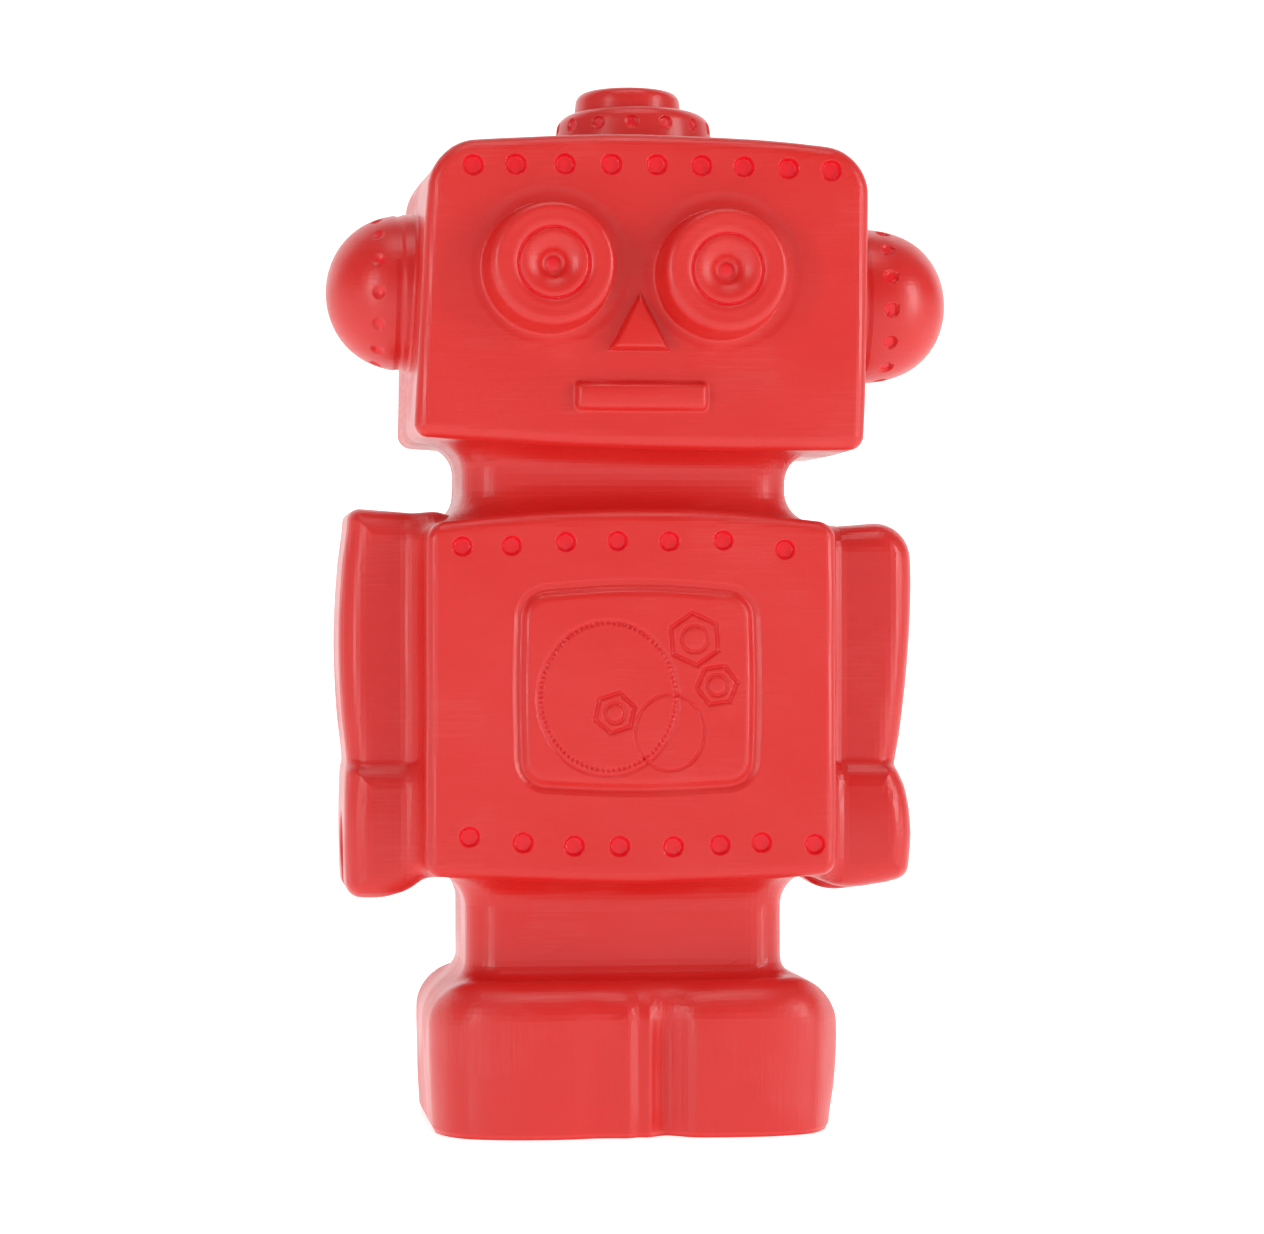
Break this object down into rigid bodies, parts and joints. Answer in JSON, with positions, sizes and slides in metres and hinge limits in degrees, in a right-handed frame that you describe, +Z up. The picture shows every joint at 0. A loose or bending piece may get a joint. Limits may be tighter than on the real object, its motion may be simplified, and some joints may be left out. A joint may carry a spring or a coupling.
{
  "type": "wind-up musical robot figure",
  "caption": "Free-standing moulded robot figure in two half shells, with a wind-up musical movement inside and its key and stop lever at the back.",
  "frame": {"origin": "on the surface the figure stands on, below the middle of the feet, on the parting plane of the two half shells", "axes": "+Z up, -Y towards the front (the face), +X to the right as seen from the front"},
  "size_m": [0.1816, 0.121, 0.3],
  "materials": {
    "shell": "red moulded vinyl, hand finished with a satin coat and faint brush marks",
    "base": "dark red moulded plastic, fine texture",
    "screw_steel": "zinc plated screws",
    "plate_brass": "rolled and turned brass",
    "bright_steel": "turned bright steel",
    "spring_steel": "blued spring steel",
    "cast_bracket": "die cast",
    "key_metal": "nickel plated pressed key",
    "fly_plastic": "black moulded plastic",
    "knob_metal": "nickel plated"
  },
  "bodies": {
    "casing": {"front_shell": "shell", "rear_shell": "shell", "head_cap": "shell", "ear_left": "shell", "ear_right": "shell", "arm_left": "shell", "arm_right": "shell", "base_plate": "base", "shell_screws": "screw_steel", "movement_screws": "screw_steel", "base_screws": "screw_steel", "plate_screws": "screw_steel", "comb_screws": "screw_steel", "front_plate": "plate_brass", "back_plate": "plate_brass", "key_bush": "plate_brass", "pillars": "bright_steel", "spring_post": "bright_steel", "lever_stud": "bright_steel", "mainspring": "spring_steel", "comb": "spring_steel", "comb_bracket": "cast_bracket"},
    "winder": {"winding_shaft": "bright_steel", "winding_key": "key_metal", "great_wheel": "plate_brass", "ratchet_wheel": "bright_steel", "click_spring": "bright_steel"},
    "click": {"click": "bright_steel"},
    "drum": {"pin_drum": "plate_brass", "drum_arbor": "bright_steel", "drum_pinion": "plate_brass", "drum_wheel": "plate_brass"},
    "third": {"third_arbor": "bright_steel", "third_pinion": "bright_steel", "third_wheel": "plate_brass"},
    "governor": {"fly_arbor": "bright_steel", "fly_pinion": "bright_steel", "fly": "fly_plastic", "brake_disc": "plate_brass"},
    "stop": {"stop_lever": "bright_steel", "stop_knob": "knob_metal"}
  },
  "joints": [
    {"name": "key_turn", "type": "hinge", "parent": "casing", "child": "winder", "pos_m": [0, 0.01, 0.128], "axis": [0, 1, 0], "continuous": true},
    {"name": "click_lift", "type": "hinge", "parent": "winder", "child": "click", "pos_m": [0, 0.01, 0.143], "axis": [0, 1, 0], "range_deg": [0, 10], "stiffness_Nm_per_rad": 0.002},
    {"name": "drum_turn", "type": "hinge", "parent": "casing", "child": "drum", "pos_m": [0.016, 0.01, 0.10029], "axis": [0, 1, 0], "continuous": true},
    {"name": "third_turn", "type": "hinge", "parent": "casing", "child": "third", "pos_m": [0.0019, 0.01, 0.09516], "axis": [0, 1, 0], "continuous": true},
    {"name": "governor_turn", "type": "hinge", "parent": "casing", "child": "governor", "pos_m": [-0.00991, 0.01, 0.09307], "axis": [0, 1, 0], "continuous": true},
    {"name": "stop_turn", "type": "hinge", "parent": "casing", "child": "stop", "pos_m": [-0.03, 0.01, 0.1], "axis": [0, 1, 0], "range_deg": [0, 8]}
  ],
  "couplings": [
    {"joint": "drum_turn", "follows": "key_turn", "ratio": -3},
    {"joint": "third_turn", "follows": "key_turn", "ratio": 12},
    {"joint": "governor_turn", "follows": "key_turn", "ratio": -48}
  ]
}
